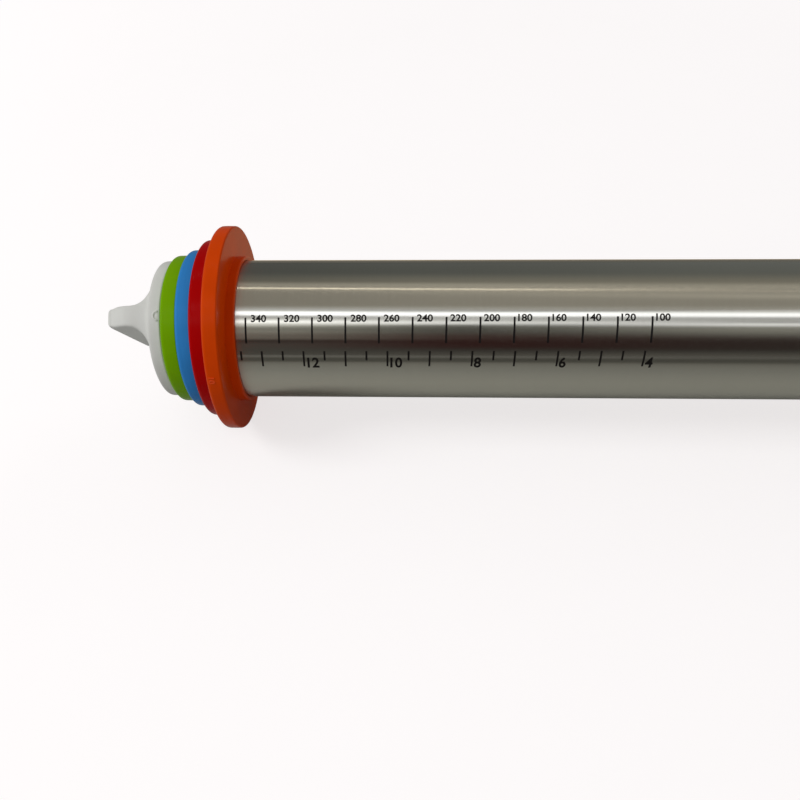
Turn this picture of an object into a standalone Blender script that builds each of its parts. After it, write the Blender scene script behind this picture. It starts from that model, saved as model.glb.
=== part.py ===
"""Adjustable rolling pin.

A stainless tube is closed at both ends by a moulded plug with a tapped metal bush. Four
thickness rings nest on each end of the tube, from the largest next to the tube to the
smallest, and a winged cap on a threaded stud clamps them. Each ring stands out from the
tube by the thickness that the dough is rolled to.

The axis of the pin lies along X, +Z is up, and the origin is the middle of the tube.
"""

import math

import bmesh
import bpy
from mathutils import Matrix, Vector

MM = 0.001
DEGREE = math.pi / 180.0

# Clearances
SEAT_GAP = 0.3 * MM
STUD_CLEARANCE = 0.5 * MM
CUT_OVERRUN = 1.0 * MM

# Tube
BARREL_LENGTH = 351.3 * MM
BARREL_RADIUS = 22.25 * MM
BARREL_WALL = 1.0 * MM
BARREL_EDGE = 0.25 * MM

# Thickness rings: how far each rim stands out from the tube
ORANGE_STEP = 10.6 * MM
RED_STEP = 6.3 * MM
BLUE_STEP = 3.2 * MM
GREEN_STEP = 1.5 * MM
RING_THICKNESS = 4.75 * MM
RIM_EDGE = 0.45 * MM
LIP_HEIGHT = 2.7 * MM
LIP_EDGE = 0.3 * MM
LIP_WALL_SHARE = 0.8
EDGE_LIMIT_SHARE = 0.6

# Threaded stud and tapped bush
STUD_RADIUS = 6.0 * MM
STUD_TIP_CHAMFER = 1.0 * MM
STUD_ENGAGEMENT = 24.0 * MM
STUD_IN_CAP = 7.8 * MM
STUD_SHANK_RADIUS = 2.2 * MM
INSERT_WALL = 2.7 * MM
INSERT_LENGTH = 25.0 * MM
INSERT_GROOVE_WIDTH = 5.0 * MM
INSERT_GROOVE_DEPTH = 1.0 * MM

# End plug with its sealing ring
PLUG_RECESS = 0.4 * MM
PLUG_LENGTH = 16.0 * MM
PLUG_SKIRT_WALL = 2.2 * MM
PLUG_WEB = 5.6 * MM
PLUG_HUB_WALL = 2.7 * MM
PLUG_EDGE = 0.5 * MM
PLUG_RIB_COUNT = 6
PLUG_RIB_WIDTH = 2.0 * MM
SEAL_RADIUS = 0.8 * MM
SEAL_DEPTH = 3.0 * MM

# Soft washer under the cap
WASHER_RADIUS = 11.0 * MM
WASHER_THICKNESS = 1.5 * MM

# Winged cap
CAP_HEIGHT = 18.45 * MM
CAP_FLANGE_INSET = 0.25 * MM
CAP_FLANGE_EDGE = 0.4 * MM
CAP_FLANGE_HEIGHT = 3.7 * MM
CAP_SHOULDER = 0.35 * MM
WING_WIDTH = 40.2 * MM
WING_THICKNESS = 7.0 * MM
WING_TIP_ROUND = 1.4 * MM
CAP_BORE_END_GAP = 0.3 * MM
CAP_POCKET_DEPTH = 2.0 * MM
CAP_POCKET_WALL = 3.0 * MM
CAP_HUB_WALL = 1.8 * MM
CAP_RIB_COUNT = 4
CAP_RIB_WIDTH = 2.4 * MM

# Between the flange and the tip: share of the height, the wing's edge as a share of its half
# width, and its flat as a share of its half thickness
FLARE_SHARES = (
    (0.00, 1.092, 6.40),
    (0.05, 1.025, 2.80),
    (0.12, 1.008, 2.10),
    (0.20, 1.002, 1.60),
    (0.30, 1.000, 1.27),
    (0.42, 1.000, 1.06),
    (0.58, 0.992, 1.00),
    (0.78, 0.945, 0.99),
    (1.00, 0.846, 0.87),
)
# How sharp the corner between edge and flat is, and how far the facets crowd to the wing's edges
CORNER_POWER = 14.0
FACET_CROWDING = 0.62

# Wings as they stand in the picture, measured from the horizontal on the near side
LEFT_WING_ANGLE = 51.75 * DEGREE
RIGHT_WING_ANGLE = 128.0 * DEGREE

# Facets round the turned pieces, a multiple of four so that a flat faces straight down.
# The flats of the largest rings are wide enough for the pin to stand on a slope of 5 degrees.
ROUND_SEGMENTS = 32
CAP_SEGMENTS = 48
INNER_SEGMENTS = 24
STUD_SEGMENTS = 20
SEAL_SIDES = 6
SHARP_ANGLE = 35.0 * DEGREE
FULL_TURN = 2.0 * math.pi
MERGE_DISTANCE = 0.001 * MM

# Sizes that follow from the ones above
BARREL_END = BARREL_LENGTH / 2.0
BARREL_BORE = BARREL_RADIUS - BARREL_WALL
LIP_INNER = BARREL_RADIUS + SEAT_GAP
LIP_OUTER = LIP_INNER + LIP_WALL_SHARE * (GREEN_STEP - SEAT_GAP)
GROOVE_OUTER = LIP_OUTER + SEAT_GAP
GROOVE_DEPTH = LIP_HEIGHT + SEAT_GAP
RING_PITCH = RING_THICKNESS + SEAT_GAP
RING_BORE = STUD_RADIUS + STUD_CLEARANCE
FIRST_RING_FACE = BARREL_END + SEAT_GAP
RINGS = (
    ("orange_ring", ORANGE_STEP, "orange_abs"),
    ("red_ring", RED_STEP, "red_abs"),
    ("blue_ring", BLUE_STEP, "blue_abs"),
    ("green_ring", GREEN_STEP, "green_abs"),
)
CAP_SEAT = FIRST_RING_FACE + len(RINGS) * RING_PITCH
CAP_FLANGE_RADIUS = BARREL_RADIUS - CAP_FLANGE_INSET
CAP_RECESS_RADIUS = WASHER_RADIUS + SEAT_GAP
CAP_RECESS_DEPTH = WASHER_THICKNESS + SEAT_GAP
STUD_HEAD = CAP_SEAT + CAP_RECESS_DEPTH + STUD_IN_CAP
STUD_LENGTH = STUD_HEAD - (BARREL_END - STUD_ENGAGEMENT)
INSERT_BORE = STUD_RADIUS + SEAT_GAP
INSERT_RADIUS = INSERT_BORE + INSERT_WALL
PLUG_FACE = BARREL_END - PLUG_RECESS
PLUG_RADIUS = BARREL_BORE - SEAT_GAP
PLUG_BORE = INSERT_RADIUS + SEAT_GAP
PLUG_HUB_RADIUS = PLUG_BORE + PLUG_HUB_WALL
SEAL_TRACK_RADIUS = PLUG_RADIUS - SEAL_RADIUS
SEAL_GROOVE_RADIUS = SEAL_TRACK_RADIUS - SEAL_RADIUS - SEAT_GAP
SEAL_GROOVE_HALF = SEAL_RADIUS + SEAT_GAP


def clear_scene():
    """Remove every object that is already in the file."""
    for old in list(bpy.data.objects):
        bpy.data.objects.remove(old, do_unlink=True)


def plain_material(name, colour, roughness, metallic=0.0):
    """Make a Principled material from a linear colour."""
    made = bpy.data.materials.new(name)
    made.use_nodes = True
    shader = made.node_tree.nodes["Principled BSDF"]
    shader.inputs["Base Color"].default_value = (*colour, 1.0)
    shader.inputs["Roughness"].default_value = roughness
    shader.inputs["Metallic"].default_value = metallic
    made.diffuse_color = (*colour, 1.0)
    return made


def make_materials():
    """Return the finishes of the pin by name."""
    return {
        "steel": plain_material("brushed_steel", (0.48, 0.46, 0.43), 0.32, 1.0),
        "orange_abs": plain_material("orange_abs", (0.52, 0.05, 0.003), 0.25),
        "red_abs": plain_material("red_abs", (0.30, 0.002, 0.003), 0.25),
        "blue_abs": plain_material("blue_abs", (0.03, 0.16, 0.42), 0.25),
        "green_abs": plain_material("green_abs", (0.13, 0.30, 0.006), 0.25),
        "white_abs": plain_material("white_abs", (0.58, 0.58, 0.56), 0.3),
        "plug_plastic": plain_material("plug_plastic", (0.55, 0.55, 0.53), 0.45),
        "brass": plain_material("brass", (0.62, 0.43, 0.16), 0.35, 1.0),
        "zinc": plain_material("zinc_plated_steel", (0.60, 0.60, 0.60), 0.3, 1.0),
        "rubber": plain_material("seal_rubber", (0.03, 0.03, 0.03), 0.7),
        "silicone": plain_material("washer_silicone", (0.45, 0.45, 0.43), 0.6),
    }


def finish_object(name, mesh_builder, finish, parent=None, place=0.0, turn=0.0):
    """Turn a bmesh into an object with smooth round faces, placed along the axis."""
    bmesh.ops.recalc_face_normals(mesh_builder, faces=mesh_builder.faces)
    mesh = bpy.data.meshes.new(name)
    mesh_builder.to_mesh(mesh)
    mesh_builder.free()
    mesh.shade_smooth()
    mesh.set_sharp_from_angle(angle=SHARP_ANGLE)
    made = bpy.data.objects.new(name, mesh)
    if finish is not None:
        mesh.materials.append(finish)
    bpy.context.scene.collection.objects.link(made)
    made.parent = parent
    made.location = (place, 0.0, 0.0)
    made.rotation_euler = (turn, 0.0, 0.0)
    return made


def turned(profile, segments, closed=True):
    """Spin a profile of (along, radius) points round the X axis.

    A closed profile makes a ring. An open one starts and ends on the axis and makes a
    solid bar. The first corner lies half a facet from the top, so flats face up and down.
    """
    shape = bmesh.new()
    half_facet = Matrix.Rotation(FULL_TURN / segments / 2.0, 4, "X")
    corners = [shape.verts.new(half_facet @ Vector((along, 0.0, radius))) for along, radius in profile]
    edges = [shape.edges.new(pair) for pair in zip(corners, corners[1:])]
    if closed:
        edges.append(shape.edges.new((corners[-1], corners[0])))
    bmesh.ops.spin(
        shape,
        geom=corners + edges,
        cent=(0.0, 0.0, 0.0),
        axis=(1.0, 0.0, 0.0),
        angle=FULL_TURN,
        steps=segments,
        use_merge=True,
    )
    bmesh.ops.remove_doubles(shape, verts=shape.verts, dist=MERGE_DISTANCE)
    return shape


def loft(shape, loops):
    """Join neighbouring loops of corners with quads and close both ends."""
    for near, far in zip(loops, loops[1:]):
        for index, corner in enumerate(near):
            after = (index + 1) % len(near)
            shape.faces.new((corner, near[after], far[after], far[index]))
    shape.faces.new(loops[0])
    shape.faces.new(loops[-1])


def pocket_cutter(name, section, count, rib_width, parent, place, turn=0.0):
    """Carry a four-sided section round the axis as separate pockets with ribs between.

    The section is (inner radius, outer radius, start, end), with the last two along X.
    """
    inner, outer, start, end = section
    corners = ((start, inner), (start, outer), (end, outer), (end, inner))
    rib_angle = rib_width / ((inner + outer) / 2.0)
    pocket_angle = FULL_TURN / count - rib_angle
    steps = max(2, INNER_SEGMENTS // (2 * count))
    shape = bmesh.new()
    for index in range(count):
        first = index * FULL_TURN / count + rib_angle / 2.0
        loops = []
        for step in range(steps + 1):
            spot = Matrix.Rotation(first + pocket_angle * step / steps, 4, "X")
            loops.append([shape.verts.new(spot @ Vector((along, 0.0, radius))) for along, radius in corners])
        loft(shape, loops)
    return as_cutter(name, shape, parent, place, turn)


def as_cutter(name, shape, parent, place, turn=0.0):
    """Keep a shape in the file as a tool that shows only as wires."""
    cutter = finish_object(name, shape, None, parent, place, turn)
    cutter.hide_render = True
    cutter.display_type = "WIRE"
    return cutter


def cut(body, cutter):
    """Take the cutter away from the body."""
    step = body.modifiers.new("cut_" + cutter.name, "BOOLEAN")
    step.operation = "DIFFERENCE"
    step.solver = "EXACT"
    step.object = cutter


def make_barrel(finish):
    """The rolling tube, open at both ends."""
    profile = [
        (0.0, BARREL_BORE),
        (0.0, BARREL_RADIUS - BARREL_EDGE),
        (BARREL_EDGE, BARREL_RADIUS),
        (BARREL_LENGTH - BARREL_EDGE, BARREL_RADIUS),
        (BARREL_LENGTH, BARREL_RADIUS - BARREL_EDGE),
        (BARREL_LENGTH, BARREL_BORE),
    ]
    return finish_object("barrel_tube", turned(profile, ROUND_SEGMENTS), finish, place=-BARREL_END)


def ring_profile(rim_radius, has_groove):
    """Section of a thickness ring, from its bore out to the rim and back.

    The side next to the tube is at zero. Its lip reaches back over the tube, or over the
    step in the next larger ring, whose groove takes the lip.
    """
    inner_edge = min(RIM_EDGE, EDGE_LIMIT_SHARE * (rim_radius - LIP_OUTER))
    outer_edge = RIM_EDGE
    profile = [
        (0.0, RING_BORE),
        (0.0, LIP_INNER),
        (-LIP_HEIGHT, LIP_INNER),
        (-LIP_HEIGHT, LIP_OUTER - LIP_EDGE),
        (LIP_EDGE - LIP_HEIGHT, LIP_OUTER),
        (0.0, LIP_OUTER),
        (0.0, rim_radius - inner_edge),
        (inner_edge, rim_radius),
        (RING_THICKNESS - outer_edge, rim_radius),
        (RING_THICKNESS, rim_radius - outer_edge),
    ]
    if has_groove:
        profile += [
            (RING_THICKNESS, GROOVE_OUTER),
            (RING_THICKNESS - GROOVE_DEPTH, GROOVE_OUTER),
            (RING_THICKNESS - GROOVE_DEPTH, BARREL_RADIUS),
            (RING_THICKNESS, BARREL_RADIUS),
        ]
    profile.append((RING_THICKNESS, RING_BORE))
    return profile


def make_rings(side, end, finishes):
    """The four nested rings of one end. Only the outermost has no groove."""
    for index, (colour_name, step, finish_name) in enumerate(RINGS):
        has_groove = index < len(RINGS) - 1
        profile = ring_profile(BARREL_RADIUS + step, has_groove)
        finish_object(
            side + "_" + colour_name,
            turned(profile, ROUND_SEGMENTS),
            finishes[finish_name],
            parent=end,
            place=FIRST_RING_FACE + index * RING_PITCH,
        )


def make_plug(side, end, finish):
    """Moulded plug pressed into the tube: skirt, ribbed pockets and a long hub."""
    groove_near = -SEAL_DEPTH + SEAL_GROOVE_HALF
    groove_far = -SEAL_DEPTH - SEAL_GROOVE_HALF
    profile = [
        (0.0, PLUG_BORE),
        (0.0, PLUG_RADIUS - PLUG_EDGE),
        (-PLUG_EDGE, PLUG_RADIUS),
        (groove_near, PLUG_RADIUS),
        (groove_near, SEAL_GROOVE_RADIUS),
        (groove_far, SEAL_GROOVE_RADIUS),
        (groove_far, PLUG_RADIUS),
        (-PLUG_LENGTH, PLUG_RADIUS),
        (-PLUG_LENGTH, PLUG_HUB_RADIUS),
        (-INSERT_LENGTH, PLUG_HUB_RADIUS),
        (-INSERT_LENGTH, PLUG_BORE),
    ]
    plug = finish_object(side + "_end_plug", turned(profile, INNER_SEGMENTS), finish, end, PLUG_FACE)
    section = (PLUG_HUB_RADIUS, PLUG_RADIUS - PLUG_SKIRT_WALL, -PLUG_LENGTH - CUT_OVERRUN, -PLUG_WEB)
    name = side + "_plug_pockets"
    cut(plug, pocket_cutter(name, section, PLUG_RIB_COUNT, PLUG_RIB_WIDTH, end, PLUG_FACE))
    return plug


def make_seal(side, end, finish):
    """Rubber ring in the plug's groove."""
    profile = []
    for index in range(SEAL_SIDES):
        angle = index * FULL_TURN / SEAL_SIDES
        along = SEAL_RADIUS * math.cos(angle)
        radius = SEAL_TRACK_RADIUS + SEAL_RADIUS * math.sin(angle)
        profile.append((along, radius))
    place = PLUG_FACE - SEAL_DEPTH
    return finish_object(side + "_plug_seal", turned(profile, INNER_SEGMENTS), finish, end, place)


def make_insert(side, end, finish):
    """Tapped bush moulded into the hub, with a waist that locks it in the plastic."""
    waist = INSERT_RADIUS - INSERT_GROOVE_DEPTH
    near = (INSERT_GROOVE_WIDTH - INSERT_LENGTH) / 2.0
    far = near - INSERT_GROOVE_WIDTH
    profile = [
        (0.0, INSERT_BORE),
        (0.0, INSERT_RADIUS),
        (near, INSERT_RADIUS),
        (near, waist),
        (far, waist),
        (far, INSERT_RADIUS),
        (-INSERT_LENGTH, INSERT_RADIUS),
        (-INSERT_LENGTH, INSERT_BORE),
    ]
    return finish_object(side + "_thread_insert", turned(profile, STUD_SEGMENTS), finish, end, PLUG_FACE)


def make_washer(side, end, finish):
    """Soft washer that lies in the recess under the cap."""
    profile = [
        (0.0, RING_BORE),
        (0.0, WASHER_RADIUS),
        (WASHER_THICKNESS, WASHER_RADIUS),
        (WASHER_THICKNESS, RING_BORE),
    ]
    return finish_object(side + "_cap_washer", turned(profile, INNER_SEGMENTS), finish, end, CAP_SEAT)


def make_stud(side, end, finish):
    """Stud held in the cap by its thinner shank. The rest has the radius of the thread's crests."""
    shoulder = STUD_LENGTH - STUD_IN_CAP - SEAT_GAP
    profile = [
        (0.0, 0.0),
        (0.0, STUD_RADIUS - STUD_TIP_CHAMFER),
        (STUD_TIP_CHAMFER, STUD_RADIUS),
        (shoulder, STUD_RADIUS),
        (shoulder, STUD_SHANK_RADIUS),
        (STUD_LENGTH, STUD_SHANK_RADIUS),
        (STUD_LENGTH, 0.0),
    ]
    place = STUD_HEAD - STUD_LENGTH
    shape = turned(profile, STUD_SEGMENTS, closed=False)
    return finish_object(side + "_cap_stud", shape, finish, end, place)


def cap_sections():
    """Height, radius and half thickness of the cap's sections. Round ones have no half thickness."""
    wing_half = WING_WIDTH / 2.0
    bar_half = WING_THICKNESS / 2.0
    flare_top = CAP_HEIGHT - WING_TIP_ROUND
    flare_height = flare_top - CAP_FLANGE_HEIGHT
    sections = [
        (0.0, CAP_FLANGE_RADIUS - CAP_FLANGE_EDGE, None),
        (CAP_FLANGE_EDGE, CAP_FLANGE_RADIUS, None),
        (CAP_FLANGE_HEIGHT - CAP_SHOULDER, CAP_FLANGE_RADIUS, None),
    ]
    for height_share, radius_share, thickness_share in FLARE_SHARES:
        height = CAP_FLANGE_HEIGHT + height_share * flare_height
        sections.append((height, radius_share * wing_half, thickness_share * bar_half))
    tip_radius, tip_thickness = sections[-1][1:]
    for angle in (45.0 * DEGREE, 90.0 * DEGREE):
        inward = WING_TIP_ROUND * (1.0 - math.cos(angle))
        height = flare_top + WING_TIP_ROUND * math.sin(angle)
        sections.append((height, tip_radius - inward, tip_thickness - inward))
    return sections


def section_corner(radius, half_thickness, angle):
    """Point of a circle that two flats cut off, with the corners between them rounded."""
    reach = radius
    if half_thickness is not None:
        flat = abs(math.sin(angle)) * radius / half_thickness
        reach = radius * (1.0 + flat**CORNER_POWER) ** (-1.0 / CORNER_POWER)
    return reach * math.cos(angle), reach * math.sin(angle)


def lofted_cap():
    """Loft the cap from its round flange through the concave flare to the wing's tip."""
    shape = bmesh.new()
    loops = []
    for height, radius, half_thickness in cap_sections():
        corners = []
        for index in range(CAP_SEGMENTS):
            even = index * FULL_TURN / CAP_SEGMENTS
            angle = math.atan2(FACET_CROWDING * math.sin(even), math.cos(even))
            across, through = section_corner(radius, half_thickness, angle)
            corners.append(shape.verts.new((height, -across, through)))
        loops.append(corners)
    loft(shape, loops)
    return shape


def make_cap(side, end, finish, turn):
    """Winged cap: the lofted outside, a recess for the washer, a bore and cored pockets."""
    cap = finish_object(side + "_wing_cap", lofted_cap(), finish, end, CAP_SEAT, turn)
    bore_depth = CAP_RECESS_DEPTH + STUD_IN_CAP + CAP_BORE_END_GAP
    bore = STUD_SHANK_RADIUS + SEAT_GAP
    profile = [
        (-CUT_OVERRUN, 0.0),
        (-CUT_OVERRUN, CAP_RECESS_RADIUS),
        (CAP_RECESS_DEPTH, CAP_RECESS_RADIUS),
        (CAP_RECESS_DEPTH, bore),
        (bore_depth, bore),
        (bore_depth, 0.0),
    ]
    shape = turned(profile, STUD_SEGMENTS, closed=False)
    cut(cap, as_cutter(side + "_cap_bore", shape, end, CAP_SEAT, turn))
    hub_radius = CAP_RECESS_RADIUS + CAP_HUB_WALL
    section = (hub_radius, CAP_FLANGE_RADIUS - CAP_POCKET_WALL, -CUT_OVERRUN, CAP_POCKET_DEPTH)
    name = side + "_cap_pockets"
    cut(cap, pocket_cutter(name, section, CAP_RIB_COUNT, CAP_RIB_WIDTH, end, CAP_SEAT, turn))
    return cap


def make_end(side, heading, wing_turn, finishes):
    """Everything at one end, built outwards along the X axis of an empty."""
    end = bpy.data.objects.new(side + "_end", None)
    bpy.context.scene.collection.objects.link(end)
    end.rotation_euler = (0.0, 0.0, heading)
    make_plug(side, end, finishes["plug_plastic"])
    make_seal(side, end, finishes["rubber"])
    make_insert(side, end, finishes["brass"])
    make_rings(side, end, finishes)
    make_washer(side, end, finishes["silicone"])
    make_stud(side, end, finishes["zinc"])
    make_cap(side, end, finishes["white_abs"], wing_turn)
    return end


def main():
    """Build the whole pin."""
    clear_scene()
    finishes = make_materials()
    make_barrel(finishes["steel"])
    make_end("left", math.pi, LEFT_WING_ANGLE, finishes)
    make_end("right", 0.0, -RIGHT_WING_ANGLE, finishes)


main()
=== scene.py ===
"""Adjustable rolling pin: a printed steel tube between nested thickness rings and winged caps."""

import math

import bmesh
import bpy
import numpy as np
from mathutils import Matrix, Vector


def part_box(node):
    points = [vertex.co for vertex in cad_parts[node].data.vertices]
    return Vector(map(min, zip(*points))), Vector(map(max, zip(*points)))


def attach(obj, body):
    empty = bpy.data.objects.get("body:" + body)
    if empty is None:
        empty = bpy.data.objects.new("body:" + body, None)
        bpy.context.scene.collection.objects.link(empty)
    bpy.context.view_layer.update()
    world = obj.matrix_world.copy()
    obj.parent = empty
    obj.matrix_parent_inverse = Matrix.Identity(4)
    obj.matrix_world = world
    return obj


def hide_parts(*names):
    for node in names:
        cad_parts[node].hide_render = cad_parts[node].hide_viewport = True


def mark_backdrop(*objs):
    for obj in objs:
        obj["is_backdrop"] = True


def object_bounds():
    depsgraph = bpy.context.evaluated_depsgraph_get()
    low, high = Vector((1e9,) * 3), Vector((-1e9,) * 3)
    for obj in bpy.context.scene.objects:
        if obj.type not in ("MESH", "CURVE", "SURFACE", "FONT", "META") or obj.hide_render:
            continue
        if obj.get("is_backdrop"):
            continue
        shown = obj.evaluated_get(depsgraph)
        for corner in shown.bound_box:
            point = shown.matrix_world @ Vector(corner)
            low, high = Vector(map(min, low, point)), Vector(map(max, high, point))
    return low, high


bl_info = {
    "name": "Adjustable rolling pin",
    "version": (1, 0, 0),
    "blender": (4, 5, 0),
    "location": "3D View > Sidebar > Rolling pin",
    "description": "Builds an adjustable rolling pin with thickness rings, winged caps and a printed scale",
    "category": "Add Mesh",
}

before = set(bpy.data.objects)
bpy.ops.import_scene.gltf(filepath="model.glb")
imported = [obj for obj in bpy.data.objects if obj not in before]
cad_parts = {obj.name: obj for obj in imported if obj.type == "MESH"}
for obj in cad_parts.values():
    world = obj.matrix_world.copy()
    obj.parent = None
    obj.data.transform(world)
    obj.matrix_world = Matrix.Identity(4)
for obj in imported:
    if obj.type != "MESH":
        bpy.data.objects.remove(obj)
CAD_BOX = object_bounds()

# Units and the pieces' places in the frame
MM = 0.001
DEGREE = math.pi / 180.0
FULL_TURN = 2.0 * math.pi
TUBE_END = float(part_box("barrel_tube")[1][0])
RING_THICKNESS = 4.75 * MM
FIRST_RING_FACE = float(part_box("right_orange_ring")[1][0]) - RING_THICKNESS
RING_PITCH = float(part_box("right_red_ring")[1][0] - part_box("right_orange_ring")[1][0])
CAP_SEAT = float(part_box("right_wing_cap")[0][0])
STUD_TIP = float(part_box("right_cap_stud")[0][0])
STUD_HEAD = float(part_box("right_cap_stud")[1][0])
SIDES = ("left", "right")

# Rings from the middle outwards: colour, the figure on the rim, and the degrees that it stands
# upwards from the user's side. The figures are the usual steps, a little less than the modelled ones,
# and only the orange ring's place is seen in the photograph.
RINGS = (("orange", "10", 13.0), ("red", "6", 205.0), ("blue", "3", 215.0), ("green", "1.5", 225.0))

# Cap: share of the flare's height, its edge as a share of the wing's half width, and its flat as
# a share of the wing's half thickness. A flat further out than the edge cuts nothing off.
FLARE = np.array(
    (
        (-0.10, 1.0945, 20.0),
        (-0.05, 1.0925, 12.0),
        (0.00, 1.083, 6.40),
        (0.05, 1.028, 2.80),
        (0.12, 1.008, 2.10),
        (0.20, 1.002, 1.60),
        (0.30, 1.000, 1.27),
        (0.42, 1.000, 1.06),
        (0.58, 0.992, 1.00),
        (0.78, 0.945, 0.99),
        (1.00, 0.846, 0.87),
    )
)
CORNER_POWER = 14.0
NO_FLAT = 1.0
PIP_ANGLE = math.pi + 1.3 * DEGREE

# Underside of the cap: bore for the stud's shank, recess for the washer, and the ribbed pocket
CAP_BORE_DEPTH = 9.9 * MM
CAP_RECESS_DEPTH = 1.8 * MM
CAP_RECESS_RADIUS = 11.3 * MM
CAP_POCKET_DEPTH = 2.0 * MM
CAP_POCKET_RADIUS = 13.1 * MM
CAP_POCKET_WALL = 3.0 * MM

# Stud's shank with the gap at its shoulder, and the print: thickness of the ink, shift of the inches
SHANK_LENGTH = 8.1 * MM
INK_THICKNESS = 0.012 * MM
INCH_SHIFT = -0.42 * MM

# Lamps and walls that gloss reflects: elevation from and to, width of the soft edge, how much lower
# it lies at the right than at the left, its glow at the left, in the middle and at the right, and
# its red and blue as shares of its green
REFLECTED = (
    ("back wall", 128.0, 192.0, 38.0, -4.5, 0.11, 0.14, 0.17, 0.95, 0.98),
    ("top of the back wall", 113.5, 132.5, 28.0, 2.0, 0.13, 0.22, 0.23, 1.06, 0.86),
    ("far tube lamp", 106.8, 107.5, 0.8, 7.0, 4.00, 3.80, 0.80, 1.10, 0.84),
    ("ceiling by the far lamp", 97.5, 103.5, 8.5, 12.0, 0.00, 0.10, 0.21, 1.06, 0.88),
    ("ceiling", 72.0, 119.0, 10.0, 4.0, 0.30, 0.35, 0.34, 1.05, 0.91),
    ("ceiling by the near lamp", 67.5, 74.0, 10.5, 0.0, 0.90, 0.47, 0.20, 0.96, 1.05),
    ("near lamp", 61.8, 68.2, 3.0, 2.0, 2.10, 1.48, 1.40, 0.97, 1.12),
    ("ceiling between the lamps", 49.0, 67.0, 1.2, -9.5, 0.43, 0.67, 0.51, 0.97, 1.06),
    ("second lamp", 49.0, 53.0, 7.0, 4.0, 1.81, 0.52, 1.43, 0.97, 1.10),
    ("upper wall", 37.0, 53.0, 21.0, 6.5, 0.56, 0.05, 0.34, 1.00, 0.94),
    ("middle wall", 24.0, 38.5, 5.5, 0.0, 0.21, 0.006, 0.01, 1.06, 0.92),
    ("brown door", 10.0, 34.0, 10.0, 0.0, 0.002, 0.008, 0.002, 4.50, 1.00),
    ("lower wall", -20.0, 25.5, 11.5, -10.0, 0.08, 0.00, 0.03, 1.04, 0.94),
    ("skirting", -10.5, 6.0, 19.0, 6.5, 0.00, 0.09, 0.10, 1.06, 0.94),
)

# Worktop that gloss reflects: distance behind the pin's axis in metres, and its colour there.
# The colour holds painted light and shade: lightest by the pin and darker further off, with a darker band
# in front and a warm patch behind
WORKTOP = np.array(
    (
        (-3.000, 0.24, 0.24, 0.23),
        (-0.400, 0.24, 0.24, 0.23),
        (-0.330, 0.12, 0.12, 0.11),
        (-0.180, 0.12, 0.12, 0.11),
        (-0.165, 0.25, 0.25, 0.23),
        (-0.080, 0.40, 0.41, 0.39),
        (-0.040, 0.55, 0.56, 0.53),
        (0.045, 0.55, 0.56, 0.53),
        (0.085, 0.64, 0.52, 0.34),
        (0.125, 0.64, 0.52, 0.34),
        (0.200, 0.24, 0.23, 0.20),
        (3.000, 0.24, 0.23, 0.20),
    )
)


def length_property(name, description, default):
    """A size in metres, shown in the scene's unit."""
    return bpy.props.FloatProperty(
        name=name, description=description, default=default, min=0.0, precision=5, unit="LENGTH"
    )


def angle_property(name, description, degrees):
    """An angle, shown in degrees."""
    return bpy.props.FloatProperty(
        name=name, description=description, default=degrees * DEGREE, subtype="ANGLE"
    )


def linear(code):
    """Linear colour of an sRGB hex value: c / 12.92 up to 0.04045, else ((c + 0.055) / 1.055) ^ 2.4."""
    channels = np.array([int(code[start : start + 2], 16) for start in (1, 3, 5)]) / 255.0
    low = channels / 12.92
    high = ((channels + 0.055) / 1.055) ** 2.4
    return tuple(float(value) for value in np.where(channels <= 0.04045, low, high))


def colour_property(name, description, code):
    """A colour whose default is an sRGB hex value."""
    settings = {"name": name, "description": description, "default": linear(code)}
    return bpy.props.FloatVectorProperty(**settings, subtype="COLOR", size=3, min=0.0, max=1.0)


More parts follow.
